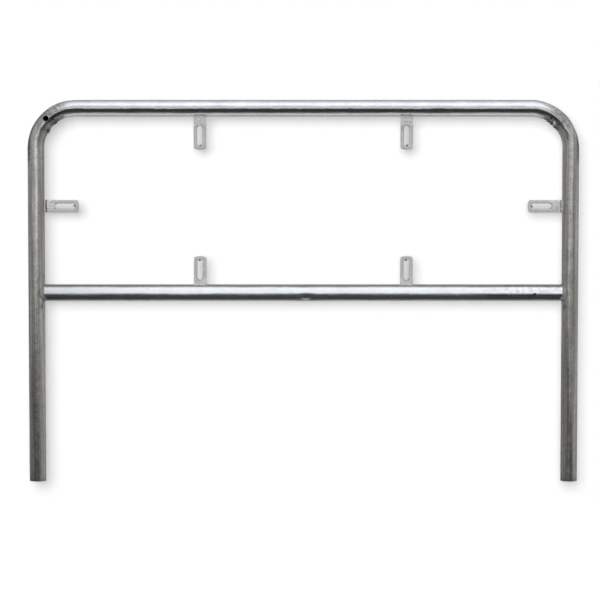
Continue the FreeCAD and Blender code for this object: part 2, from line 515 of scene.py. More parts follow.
def plate_zinc():
    """Matt zinc on the lugs: mottled, lumpy towards the root, and painted dark as shade round the slot's ends
    and along the side lugs' weld toes.
    """
    _, nodes = new_material("plate_zinc")
    place = nodes.object_place()
    lug_place = nodes.add("ShaderNodeAttribute", {"attribute_name": "lug_place"}, output="Vector")
    across, from_tube, past_root_end = nodes.parts(lug_place)
    plate = Vector(colours().plate)
    patch = nodes.cloud(place, 60.0, 4.0)
    fine = nodes.cloud(place, 420.0, 3.0)
    colour = nodes.mix_colour(patch.ramp(0.3, 0.7), plate * 0.92, plate * 1.06)
    colour = nodes.mix_colour(fine.ramp(0.40, 0.60, 0.30, 0.0), colour, plate * 0.55)
    stain = nodes.attribute("stain")
    stained = stain * nodes.cloud(place, 190.0, 3.0).ramp(0.42, 0.58, 0.1, 1.0)
    colour = nodes.mix_colour(stained, colour, colours().stain)
    arch = slot_arch_shade(across, past_root_end) * fine.ramp(0.30, 0.60, 0.6, 1.0)
    grime = nodes.attribute("grime").maths("MAXIMUM", arch)
    grime = grime.maths("MAXIMUM", weld_toe_shade(nodes, place, from_tube))
    # Painted shade: the drip in the slot's free end, the arch round its root end and the weld toe line.
    colour = nodes.mix_colour(grime, colour, SLOT_AND_TOE_SHADE)
    lumps = nodes.bump(nodes.cloud(place, 260.0, 3.0), 0.0006, 0.7)
    lumps = nodes.bump(nodes.cloud(place, 150.0, 2.0) * stain, 0.0022, 1.0, lumps)
    finish_metal(nodes, colour, patch * 0.15 + 0.45, lumps, 0.6)


def weld_zinc(name, tone, metallic):
    """Zinc over the weld beads: rougher, darker in the ripples."""
    _, nodes = new_material(name)
    patch = nodes.cloud(nodes.object_place(), 300.0, 4.0)
    dark, pale = Vector(colours().stain) * 0.75 * tone, Vector(colours().plate) * 1.1 * tone
    colour = nodes.mix_colour(patch.ramp(0.3, 0.7), dark, pale)
    finish_metal(nodes, colour, patch * 0.2 + 0.40, nodes.bump(patch, 0.0006, 0.8), metallic)


# ---------------------------------------------------------------- mesh helpers


def placed(bm, name):
    """Makes an object of the bmesh, and puts it in the scene."""
    mesh = bpy.data.meshes.new(name)
    bm.to_mesh(mesh)
    bm.free()
    piece = bpy.data.objects.new(name, mesh)
    bpy.context.scene.collection.objects.link(piece)
    return piece


def finished(bm, name, finish, stands_for):
    """Makes a smooth piece of the rack, in its finish, and hides the nodes that it stands for."""
    for face in bm.faces:
        face.smooth = True
    piece = placed(bm, name)
    piece.data.materials.append(bpy.data.materials[finish])
    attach(piece, BODY)
    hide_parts(*stands_for)
    return piece


def applied(piece):
    """Applies the piece's modifiers to its mesh."""
    depsgraph = bpy.context.evaluated_depsgraph_get()
    mesh = bpy.data.meshes.new_from_object(piece.evaluated_get(depsgraph), depsgraph=depsgraph)
    piece.modifiers.clear()
    piece.data = mesh


def of_kind(items, kind):
    return [item for item in items if isinstance(item, kind)]


def ring_edges(verts):
    """The edges that join the given vertices, each once and in a fixed order."""
    chosen = set(verts)
    edges = dict.fromkeys(edge for vert in verts for edge in vert.link_edges)
    return [edge for edge in edges if set(edge.verts) <= chosen]


def extrude_ring(bm, edges, move, steps):
    """Extrudes a ring of edges along a straight move, and returns the last ring."""
    for _ in range(steps):
        grown = bmesh.ops.extrude_edge_only(bm, edges=edges)["geom"]
        verts = of_kind(grown, bmesh.types.BMVert)
        ring = set(verts)
        edges = [edge for edge in of_kind(grown, bmesh.types.BMEdge) if set(edge.verts) <= ring]
        bmesh.ops.translate(bm, verts=verts, vec=move / steps)
    return edges


def write_unrolled(bm, unroll):
    """Stores each corner's place on the unrolled tube: metres along it, and turns round it."""
    layer = bm.loops.layers.uv.new("unrolled")
    for face in bm.faces:
        places = [unroll(loop.vert.co) for loop in face.loops]
        turns = [math.atan2(across, out) / (2 * math.pi) for _, out, across in places]
        highest = max(turns)
        for loop, (along, _, _), turn in zip(face.loops, places, turns):
            loop[layer].uv = (along, turn + 1 if highest - turn > 0.5 else turn)


def bell(distance, width):
    return math.exp(-((distance / width) ** 2))


def cut_holes(piece, rods):
    """Cuts round holes through one wall. Each rod is (radius, start, end)."""
    bm = bmesh.new()
    for radius, start, end in rods:
        along = end - start
        turn = along.to_track_quat("Z", "Y").to_matrix().to_4x4()
        place = Matrix.Translation((start + end) / 2) @ turn
        bmesh.ops.create_cone(
            bm, cap_ends=True, segments=40, radius1=radius, radius2=radius, depth=along.length, matrix=place
        )
    cutter = placed(bm, "cutter")
    mesh = cutter.data
    cut = piece.modifiers.new("holes", "BOOLEAN")
    cut.operation, cut.solver, cut.object = "DIFFERENCE", "EXACT", cutter
    applied(piece)
    bpy.data.objects.remove(cutter)
    bpy.data.meshes.remove(mesh)


RIM_BURR = 0.6


def mark_holes(piece, rods, unroll, burred_and_glinting):
    """Paints a tube's bore near-black as shade and, when asked, marks its bright burrs and the painted glint,
    and keeps the holes' rims sharp.
    """
    inside = TUBE_R - sizes().wall * 0.85

    def from_hole(point):
        """How far a point lies outside the nearest hole, on the side that it is cut in."""
        gaps = [1.0]
        for radius, start, end in rods:
            if (point.y - start.y) * (end.y - start.y) > 0:
                gaps.append(math.hypot(point.x - start.x, point.z - start.z) - radius)
        return min(gaps)

    bore = piece.data.attributes.new("bore", "FLOAT", "FACE")
    for face in piece.data.polygons:
        _, out, across = unroll(face.center)
        dark = math.hypot(out, across) < inside or from_hole(face.center) < 0.05 * MM
        bore.data[face.index].value = 1.0 if dark else 0.0
    burr = piece.data.attributes.new("burr", "FLOAT", "POINT")
    if burred_and_glinting:
        for vert in piece.data.vertices:
            _, out, across = unroll(vert.co)
            rim = math.hypot(out, across) > inside and from_hole(vert.co) < 0.2 * MM
            burr.data[vert.index].value = max(bend_marks(vert.co)[0], RIM_BURR if rim else 0.0)
    piece.data.set_sharp_from_angle(angle=math.radians(50))


# ---------------------------------------------------------------- tubes

ROUND = 80
STRAIGHT_STEP = 0.016
BEND_STEPS = 90

# Where each bend is wrinkled: the place along its arc and the half width, as shares of the arc.
RIGHT_WRINKLES = ((0.47, 0.17),)
LEFT_WRINKLES = ((0.58, 0.085), (0.36, 0.06))
# Where the painted glint and the dark scar sit on the right bend.
GLINT_ALONG, GLINT_OUT = 0.47, -0.74
SCAR_ALONG, SCAR_OUT = 0.545, 0.48
FOOT_DARKENING = 0.45

# How far the skin is moved: by uneven zinc, by the bends' flattened and wavy outer side, and by the
# crossbar's dent with the bulge under it.
UNEVENNESS = 0.15 * MM
FLATTENING = 1.4 * MM
WAVES = 0.9 * MM
DENT_DEPTH = 3.2 * MM
BULGE_HEIGHT = 1.0 * MM
DENT_X = 0.011
TARNISH_X = 0.005


def bend_corner():
    """The bends' radius, and how far out and how high their centres are."""
    bend = sizes().bend_radius
    return bend, LEG_X - bend, RAIL_Z - bend


def bend_starts():
    """A bend's length, and where the left and the right one start along the hoop."""
    bend, bend_x, bend_z = bend_corner()
    arc = bend * math.pi / 2
    return arc, bend_z, bend_z + arc + 2 * bend_x


def hoop_place(point):
    """Metres along the hoop from the left foot, and the distances out of its axis and across it."""
    bend, bend_x, bend_z = bend_corner()
    arc, left_start, right_start = bend_starts()
    x, y, z = point
    if z <= bend_z:
        along = z if x < 0 else right_start + arc + bend_z - z
        return along, abs(x) - LEG_X, y
    if abs(x) <= bend_x:
        return left_start + arc + x + bend_x, z - RAIL_Z, y
    angle = math.atan2(z - bend_z, abs(x) - bend_x)
    out = math.hypot(z - bend_z, abs(x) - bend_x) - bend
    if x < 0:
        return left_start + bend * angle, out, y
    return right_start + bend * (math.pi / 2 - angle), out, y


def hoop_outward(point):
    """The direction away from the hoop's own axis."""
    bend, bend_x, bend_z = bend_corner()
    x, _, z = point
    side = -1 if x < 0 else 1
    if z <= bend_z:
        axis = Vector((side * LEG_X, 0, z))
    elif abs(x) <= bend_x:
        axis = Vector((x, 0, RAIL_Z))
    else:
        centre = Vector((side * bend_x, 0, bend_z))
        axis = centre + (Vector((x, 0, z)) - centre).normalized() * bend
    return (Vector(point) - axis).normalized()


def bend_wear(point):
    """How strongly the right and the left bend are wrinkled at a point, on their inner side."""
    along, out, _ = hoop_place(point)
    arc, left_start, right_start = bend_starts()
    inside = max(0.0, -out / TUBE_R - 0.30) / 0.70

    def wrinkled(start, folds):
        return inside * max(bell(along - start - arc * place, arc * width) for place, width in folds)

    return wrinkled(right_start, RIGHT_WRINKLES), wrinkled(left_start, LEFT_WRINKLES)


def bend_marks(point):
    """A painted glint among the right bend's wrinkles, and a dark scar on its outer side."""
    along, out, across = hoop_place(point)
    if across > 0:
        return 0.0, 0.0
    arc, _, right_start = bend_starts()
    place = along - right_start
    past_glint, past_scar = out - GLINT_OUT * TUBE_R, out - SCAR_OUT * TUBE_R
    glint = bell(place - arc * GLINT_ALONG + past_glint, 5.5 * MM) * bell(past_glint, 3.6 * MM)
    scar = bell(place - arc * SCAR_ALONG - past_scar, 1.6 * MM) * bell(past_scar, 3.0 * MM)
    return glint, 0.8 * scar


def hoop_dark_marks_and_shade(point):
    """How dark the zinc is painted: shade in the bends' wrinkles, the dark scar, and darker round the cut
    feet.
    """
    glint, scar = bend_marks(point)
    right, left = bend_wear(point)
    wrinkles = min(1.0, max(1.5 * right, 1.1 * left)) * (1 - glint)
    return max(wrinkles, scar, FOOT_DARKENING if point.z < 2 * MM else 0.0)


def hoop_swelling(point):
    """How far the zinc and the bending move the hoop's skin."""
    bend, bend_x, bend_z = bend_corner()
    along, out, across = hoop_place(point)
    past_x, past_z = abs(point.x) - bend_x, point.z - bend_z
    right, left = bend_wear(point)
    rise = UNEVENNESS * noise.noise(Vector((along * 9, out * 40, across * 40)))
    lump = noise.noise(Vector((along * 75, out * 30, across * 60)))
    crease = noise.noise(Vector((along * 170, out * 50, across * 90)))
    rise += right * (2.4 * MM + 3.6 * MM * lump + 4.0 * MM * crease)
    rise += left * (1.8 * MM + 1.8 * MM * lump + 1.6 * MM * crease)
    if out > 0 and past_x > 0 and past_z > 0:
        flattened = math.sin(2 * math.atan2(past_z, past_x)) ** 0.7
        rise -= FLATTENING * (out / TUBE_R) * flattened
    rail_side, leg_side = past_x + bend * 0.2, past_z - bend * 0.2
    if rail_side > 0 and leg_side > 0:
        wavy = min(1.0, rail_side / (bend * 0.3)) * min(1.0, leg_side / (bend * 0.3))
        rise += WAVES * wavy * noise.noise(Vector((along * 38, out * 60, across * 60 + 7)))
    return rise


class RACK_OT_hoop(bpy.types.Operator):
    """Bends the hoop from one tube, with its wrinkled inner bends and its vent"""

    bl_idname = "rack.hoop"
    bl_label = "Hoop"

    def execute(self, context):
        bend, bend_x, bend_z = bend_corner()
        bm = bmesh.new()
        foot = Matrix.Translation((-LEG_X, 0, 0))
        verts = bmesh.ops.create_circle(bm, segments=ROUND, radius=TUBE_R, matrix=foot)["verts"]
        leg_steps = round(bend_z / STRAIGHT_STEP)
        rail_steps = round(2 * bend_x / STRAIGHT_STEP)
        edges = extrude_ring(bm, ring_edges(verts), Vector((0, 0, bend_z)), leg_steps)
        edges = self.bend(bm, edges, Vector((-bend_x, 0, bend_z)))
        edges = extrude_ring(bm, edges, Vector((2 * bend_x, 0, 0)), rail_steps)
        edges = self.bend(bm, edges, Vector((bend_x, 0, bend_z)))
        extrude_ring(bm, edges, Vector((0, 0, -bend_z)), leg_steps)
        bmesh.ops.recalc_face_normals(bm, faces=bm.faces)
        write_unrolled(bm, hoop_place)
        scorch = bm.verts.layers.float.new("scorch")
        for vert in bm.verts:
            vert[scorch] = hoop_dark_marks_and_shade(vert.co)
            vert.co += hoop_outward(vert.co) * hoop_swelling(vert.co)
        piece = finished(bm, "hoop_skin", "hoop_zinc", ["hoop"])
        thicken(piece)
        angle, reach = sizes().vent_angle, bend + sizes().vent_offset
        centre = Vector((-bend_x - reach * math.cos(angle), 0, bend_z + reach * math.sin(angle)))
        rods = [(sizes().vent / 2, centre, centre + Vector((0, -2 * TUBE_R, 0)))]
        cut_holes(piece, rods)
        mark_holes(piece, rods, hoop_place, burred_and_glinting=True)
        return {"FINISHED"}

    @staticmethod
    def bend(bm, edges, centre):
        """Spins the last ring through a quarter turn, and returns the ring that it ends in."""
        verts = list(dict.fromkeys(vert for edge in edges for vert in edge.verts))
        spun = bmesh.ops.spin(
            bm, geom=verts + edges, cent=centre, axis=(0, 1, 0), angle=math.pi / 2, steps=BEND_STEPS
        )
        return of_kind(spun["geom_last"], bmesh.types.BMEdge)


def thicken(piece):
    """Gives a tube's skin its wall, inwards, and closes its ends."""
    wall = piece.modifiers.new("wall", "SOLIDIFY")
    wall.thickness, wall.offset, wall.use_even_offset = sizes().wall, -1, False
    applied(piece)


def bar_place(point):
    """Metres along the crossbar from its middle, and the distances above its axis and behind it."""
    x, y, z = point
    return x, z - BAR_Z, y


def bar_turn(point):
    """The angle round the crossbar, up from its front."""
    _, out, across = bar_place(point)
    return math.atan2(out, -across)


def bar_swelling(point):
    """A dent low on the crossbar's front, midway along, with a bulge under it, and uneven zinc."""
    along, out, across = bar_place(point)
    turn = bar_turn(point)
    rise = UNEVENNESS * noise.noise(Vector((along * 9 + 40, out * 40, across * 40)))
    rise -= DENT_DEPTH * bell(along - DENT_X, 0.015) * bell(turn + 0.62, 0.40)
    rise += BULGE_HEIGHT * bell(along - DENT_X, 0.032) * bell(turn + 1.45, 0.45)
    return rise


def bar_tarnish(point):
    """How strongly the matt stain beside the dent shows."""
    return bell(point.x - TARNISH_X, 0.015) * bell(bar_turn(point) + 1.05, 0.32)


class RACK_OT_crossbar(bpy.types.Operator):
    """Makes the crossbar, its ends scalloped to the legs, with its two vents"""

    bl_idname = "rack.crossbar"
    bl_label = "Crossbar"

    def execute(self, context):
        bm = bmesh.new()
        end = BAR_HIGH.x
        place = Matrix.Translation((-end, 0, BAR_Z)) @ Matrix.Rotation(math.pi / 2, 4, "Y")
        verts = bmesh.ops.create_circle(bm, segments=ROUND, radius=TUBE_R, matrix=place)["verts"]
        steps = round(2 * end / (STRAIGHT_STEP / 2))
        extrude_ring(bm, ring_edges(verts), Vector((2 * end, 0, 0)), steps)
        bmesh.ops.recalc_face_normals(bm, faces=bm.faces)
        write_unrolled(bm, bar_place)
        tarnish = bm.verts.layers.float.new("tarnish")
        for vert in bm.verts:
            scallop = LEG_X - math.sqrt(max(0.0, TUBE_R**2 - vert.co.y**2))
            if abs(vert.co.x) > scallop:
                vert.co.x = math.copysign(scallop, vert.co.x)
            outward = Vector((0, vert.co.y, vert.co.z - BAR_Z)).normalized()
            vert[tarnish] = bar_tarnish(vert.co)
            vert.co += outward * bar_swelling(vert.co)
        piece = finished(bm, "crossbar_skin", "crossbar_zinc", ["crossbar"])
        thicken(piece)
        vent_x = LEG_X - TUBE_R - sizes().bar_vent_inset
        vent_z = BAR_Z - sizes().bar_vent_drop
        rods = []
        for side in (-1, 1):
            start = Vector((side * vent_x, 0, vent_z))
            rods.append((sizes().bar_vent / 2, start, start + Vector((0, -side * 2 * TUBE_R, 0))))
        cut_holes(piece, rods)
        mark_holes(piece, rods, bar_place, burred_and_glinting=False)
        return {"FINISHED"}


# ---------------------------------------------------------------- lugs


def lug_frame(name):
    """The lug's place: a matrix from its own axes (Z from root to tip, X across) and its sizes."""
    low, high = (Vector(corner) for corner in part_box(name))
    middle = (low + high) / 2
    if name.startswith("upper"):
        root, turn, width = Vector((middle.x, 0, RAIL_Z)), math.pi, high.x - low.x
        reach = RAIL_Z - TUBE_R - low.z
    elif name.startswith("lower"):
        root, turn, width = Vector((middle.x, 0, BAR_Z)), 0.0, high.x - low.x
        reach = high.z - BAR_Z - TUBE_R
    elif name.startswith("left"):
        root, turn, width = Vector((-LEG_X, 0, middle.z)), math.pi / 2, high.z - low.z
        reach = high.x + LEG_X - TUBE_R
    else:
        root, turn, width = Vector((LEG_X, 0, middle.z)), -math.pi / 2, high.z - low.z
        reach = LEG_X - TUBE_R - low.x
    place = Matrix.Translation(root) @ Matrix.Rotation(turn, 4, "Y")
    return place, width, high.y - low.y, reach


def slot_sizes(name):
    dims = mount(LUG_MOUNTS[name])["dims"]
    return dims["hole_r_mm"] * MM, dims["slot_length_mm"] * MM


ROOT_LAP = 1.2 * MM
SLOT_TIP_MARGIN = 10 * MM
TIP_RISE = 3.8 * MM
TIP_CORNER = 4 * MM
PLATE_EDGE = 0.9 * MM
PLATE_WOBBLE = 0.35 * MM
WOBBLE_SEED = 7
STAIN_LENGTH = 14 * MM
DRIP_RADIUS = 3.0 * MM
SIDE_STEPS = 30
TIP_POINTS = 7
ROOT_STEPS = 12
SLOT_STEPS = 18
# How strongly each side lug's weld toe is painted dark as shade.
SHADED_TOES = {"left_side_lug": 1.0, "right_side_lug": 0.64}


def loop_of(bm, points):
    """A closed loop of edges through a list of points."""
    verts = [bm.verts.new(point) for point in points]
    return [bm.edges.new((verts[n - 1], verts[n])) for n in range(len(verts))]


def arc_points(centre, radius, start, end, count):
    """Points on an arc in the XZ plane, both ends included."""
    turns = [start + (end - start) * n / (count - 1) for n in range(count)]
    return [centre + Vector((math.cos(turn), 0, math.sin(turn))) * radius for turn in turns]


class RACK_OT_lugs(bpy.types.Operator):
    """Cuts the six slotted lugs from flat bar"""

    bl_idname = "rack.lugs"
    bl_label = "Lugs"

    def execute(self, context):
        noise.seed_set(WOBBLE_SEED)
        for name in LUGS:
            self.make(name)
        return {"FINISHED"}

    def make(self, name):
        place, width, thickness, reach = lug_frame(name)
        slot_r, slot_length = slot_sizes(name)
        half, tip = width / 2, TUBE_R + reach
        top = tip - SLOT_TIP_MARGIN - slot_r
        bottom = top - (slot_length - 2 * slot_r)
        bm = bmesh.new()
        edges = loop_of(bm, self.outline(half, tip)) + loop_of(bm, self.slot(slot_r, top, bottom))
        bmesh.ops.triangle_fill(bm, edges=edges, use_beauty=True, normal=(0, -1, 0))
        bmesh.ops.translate(bm, verts=bm.verts, vec=(0, -thickness / 2, 0))
        grown = bmesh.ops.extrude_face_region(bm, geom=list(bm.faces))["geom"]
        bmesh.ops.translate(bm, verts=of_kind(grown, bmesh.types.BMVert), vec=(0, thickness, 0))
        bmesh.ops.recalc_face_normals(bm, faces=bm.faces)
        corners = [edge for edge in bm.edges if self.at_tip_corner(edge, half, tip - TIP_RISE)]
        bmesh.ops.bevel(
            bm,
            geom=corners,
            offset=TIP_CORNER,
            affect="EDGES",
            segments=5,
            profile=0.5,
            material=-1,
            clamp_overlap=True,
        )
        rims = [edge for edge in bm.edges if len(edge.link_faces) == 2 and edge.calc_face_angle(0.0) > 1.2]
        bmesh.ops.bevel(
            bm, geom=rims, offset=PLATE_EDGE, affect="EDGES", segments=3, profile=0.5, material=-1
        )
        self.mark(bm, slot_r, top, bottom, SHADED_TOES.get(name, 0.0))
        bmesh.ops.transform(bm, matrix=place, verts=bm.verts)
        for vert in bm.verts:
            vert.co += noise.noise_vector(vert.co * 110) * PLATE_WOBBLE
        finished(bm, name + "_plate", "plate_zinc", [name])

    @staticmethod
    def outline(half, tip):
        """Up the lug's left side, over its crowned tip, down its right side and back along its root."""
        foot, shoulder = TUBE_R - ROOT_LAP, tip - TIP_RISE
        radius = (half**2 + TIP_RISE**2) / (2 * TIP_RISE)
        sweep = math.asin(half / radius)
        rise = (shoulder - foot) / SIDE_STEPS
        points = [Vector((-half, 0, foot + rise * n)) for n in range(SIDE_STEPS - 1)]
        crown = Vector((0, 0, tip - radius))
        points += arc_points(crown, radius, math.pi / 2 + sweep, math.pi / 2 - sweep, TIP_POINTS)
        points += [Vector((half, 0, shoulder - rise * n)) for n in range(2, SIDE_STEPS + 1)]
        points += [Vector((half - 2 * half * n / ROOT_STEPS, 0, foot)) for n in range(1, ROOT_STEPS)]
        return points

    @staticmethod
    def slot(radius, top, bottom):
        """The slot's outline, from its left side over the top."""
        step = (top - bottom) / SLOT_STEPS
        points = arc_points(Vector((0, 0, top)), radius, math.pi, 0, SLOT_STEPS + 1)
        points += [Vector((radius, 0, top - step * n)) for n in range(1, SLOT_STEPS)]
        points += arc_points(Vector((0, 0, bottom)), radius, 0, -math.pi, SLOT_STEPS + 1)
        points += [Vector((-radius, 0, bottom + step * n)) for n in range(1, SLOT_STEPS)]
        return points

    @staticmethod
    def at_tip_corner(edge, half, shoulder):
        """Whether an edge crosses the plate's thickness where a side meets the tip."""
        first, last = (vert.co for vert in edge.verts)
        across = abs(first.y - last.y) > 1 * MM
        near = all(abs(abs(p.x) - half) < 0.1 * MM and abs(p.z - shoulder) < 0.1 * MM for p in (first, last))
        return across and near

    @staticmethod
    def mark(bm, slot_r, top, bottom, toe_shade):
        """Marks the stained root, leaves a drip of zinc in the slot's free end, painted dark as shade, and
        notes each place.
        """
        stain = bm.verts.layers.float.new("stain")
        grime = bm.verts.layers.float.new("grime")
        toe = bm.verts.layers.float.new("toe")
        place = bm.verts.layers.float_vector.new("lug_place")
        for vert in bm.verts:
            vert[stain] = min(1.0, max(0.0, (bottom + slot_r - vert.co.z) / STAIN_LENGTH))
            vert[place] = (vert.co.x, vert.co.z - TUBE_R, vert.co.z - bottom)
            vert[toe] = toe_shade
        drip = Matrix.Translation((-1.2 * MM, 0, top + slot_r - 2.0 * MM)) @ Matrix.Diagonal((1.1, 0.8, 1, 1))
        verts = bmesh.ops.create_icosphere(bm, subdivisions=3, radius=DRIP_RADIUS, matrix=drip)["verts"]
        for vert in verts:
            vert[grime] = 1.0


# ---------------------------------------------------------------- welds

BEAD_SIDES = 14
BEAD_STATIONS = 60
RING_STATIONS = 200
SCALE_PITCH = 1.7 * MM


def bead(bm, stations):
    """Sweeps a round bead through stations (centre, along, radius), and returns its rings."""
    rings = []
    for centre, along, radius in stations:
        place = Matrix.Translation(centre) @ along.to_track_quat("Z", "Y").to_matrix().to_4x4()
        ring = bmesh.ops.create_circle(bm, segments=BEAD_SIDES, radius=radius, matrix=place)
        rings.append(ring_edges(ring["verts"]))
    for first, last in zip(rings, rings[1:]):
        bmesh.ops.bridge_loops(bm, edges=first + last)
    return rings


def ripple(distance, size):
    """The bead's radius along it: one shallow scale after another."""
    phase = (distance / SCALE_PITCH) % 1.0
    return size * (0.88 + 0.14 * math.sin(math.pi * phase))


class RACK_OT_lug_welds(bpy.types.Operator):
    """Lays the weld beads along each lug's root, front and rear"""

    bl_idname = "rack.lug_welds"
    bl_label = "Lug welds"

    def execute(self, context):
        for name in LUGS:
            for label, face in (("front", -1), ("rear", 1)):
                self.lay(name, label, face)
        return {"FINISHED"}

    def lay(self, name, label, face):
        place, width, thickness, _ = lug_frame(name)
        size = sizes().weld_leg * (0.6 if "side" in name else 1.0)
        half = width / 2 - 0.6 * MM
        root = math.sqrt(TUBE_R**2 - (thickness / 2) ** 2)
        stations = []
        for n in range(BEAD_STATIONS + 1):
            across = -half + 2 * half * n / BEAD_STATIONS
            end = min(1.0, (half - abs(across)) / (2.2 * MM))
            wander = noise.noise(Vector((across * 160, place.translation.x * 9, face)))
            centre = Vector((across, face * (thickness / 2 + 0.2 * MM), root + 0.25 * size * (1 + wander)))
            radius = ripple(across + half, size * 0.82) * math.sqrt(max(0.02, end)) * (1 + 0.12 * wander)
            stations.append((centre, Vector((1, 0, 0)), radius))
        bm = bmesh.new()
        rings = bead(bm, stations)
        for ring in (rings[0], rings[-1]):
            bmesh.ops.holes_fill(bm, edges=ring, sides=0)
        bmesh.ops.recalc_face_normals(bm, faces=bm.faces)
        bmesh.ops.transform(bm, matrix=place, verts=bm.verts)
        node = f"{name}_{label}_weld"
        finished(bm, node + "_bead", "weld_zinc", [node])


class RACK_OT_crossbar_welds(bpy.types.Operator):
    """Lays the ring of weld round each end of the crossbar, dressed almost flush at the front"""

    bl_idname = "rack.crossbar_welds"
    bl_label = "Crossbar welds"

    def execute(self, context):
        for label, side in (("left", -1), ("right", 1)):
            self.lay(label, side)
        return {"FINISHED"}

    @staticmethod
    def lay(label, side):
        ring = TUBE_R + 0.3 * MM

        def seam(turn):
            y, z = 0.985 * ring * math.sin(turn), ring * math.cos(turn)
            return Vector((side * (LEG_X - math.sqrt(ring**2 - y**2)), y, BAR_Z + z))

        stations = []
        for n in range(RING_STATIONS):
            turn = 2 * math.pi * n / RING_STATIONS
            ahead = seam(turn + 0.01) - seam(turn - 0.01)
            size = sizes().weld_leg * (0.32 + 0.43 * max(0.0, math.sin(turn)))
            stations.append((seam(turn), ahead.normalized(), ripple(turn * TUBE_R, size)))
        bm = bmesh.new()
        rings = bead(bm, stations)
        bmesh.ops.bridge_loops(bm, edges=rings[-1] + rings[0])
        bmesh.ops.recalc_face_normals(bm, faces=bm.faces)
        node = f"{label}_crossbar_weld"
        finished(bm, node + "_bead", "joint_weld_zinc", [node])


# ---------------------------------------------------------------- stage

CAMERA_DISTANCE = 7.0
CAMERA_TILT = math.radians(3.4)
VIEW_CENTRE = Vector((-0.0096, 0, 0.5288))
VIEW_WIDTH = 1.7472
BACKDROP_GAP = 0.042
BACKDROP_SIZE = 10.0
BACKDROP_MIDDLE = 9.0
BACKDROP_TONE, BACKDROP_GLOW = 0.9, 0.36
FLOOR_DROP = 0.07
FLOOR_SIZE = 30.0
FLOOR_TONE, FLOOR_GLOW = 0.5, 0.92
SENSOR_WIDTH = 36
KEY_STRENGTH = 2.58
KEY_SPREAD = math.radians(58)
KEY_DIRECTION = Vector((0.24, 1, -0.24))
GAUZE_GAP = 3 * MM
GAUZE_MARGIN = 1.5 * MM
GLOW_CARD_OVERHANG = 60 * MM
FLAG_OVERLAP = 2 * MM

# What the studio shows the metal, by the angle round the X axis up from the camera's side:
# degrees, brightness, and warmth from -1 (cool) to 1 (warm).
STUDIO = (
    (-180, 0.46, 0.1),
    (-168, 0.38, 0.1),
    (-130, 0.46, 0.0),
    (-111, 0.80, 0.0),
    (-90, 1.24, 0.0),
    (-74, 0.42, 0.0),
    (-62, 0.14, 0.0),
    (-45, 0.045, -1.0),
    (-27, 0.05, -1.0),
    (-14, 0.085, -0.5),
    (-7.5, 0.13, 0.2),
    (-4.6, 0.26, 0.4),
    (-3.6, 0.42, 0.4),
    (-2.7, 0.72, 0.4),
    (-1.2, 1.12, 0.2),
    (1, 1.48, 0.0),
    (4, 1.16, 0.0),
    (9, 0.70, 0.0),
    (18, 0.84, 0.1),
    (27, 1.15, 0.1),
    (38, 1.55, -0.3),
    (50, 1.78, -0.5),
    (64, 1.70, -0.8),
    (84, 1.26, -0.9),
    (105, 0.80, -1.0),
    (130, 0.60, -1.0),
    (168, 0.52, -0.2),
    (180, 0.46, 0.1),
)
# Brightness of the studio from left to right, by the sine of the angle from the camera.
ACROSS = (
    (-1.0, 0.62),
    (-0.64, 0.72),
    (-0.2, 0.82),
    (-0.08, 0.95),
    (0.0, 1.0),
    (0.08, 0.97),
    (0.24, 0.90),
    (0.47, 0.78),
    (0.62, 0.66),
    (0.84, 0.68),
    (1.0, 0.55),
)
# The cards round the crossbar: the angles up from the front that each spans, how far off it is, how
# brightly it glows, and how much it shades.
CROSSBAR_CARDS = (
    ("bar_glow_card", -31, 40, 0.40, 0.66, 0.0),
    ("bar_lower_flag", -104, -39, 0.050, 0.0, 0.90),
    ("bar_upper_flag", 62, 128, 0.050, 0.0, 0.50),
)


def studio_tint(level, warmth):
    """A stop's colour, halved so that the ramp holds the brightest lights."""
    return (level / 2 * (1 + 0.035 * warmth), level / 2, level / 2 * (1 - 0.045 * warmth), 1)


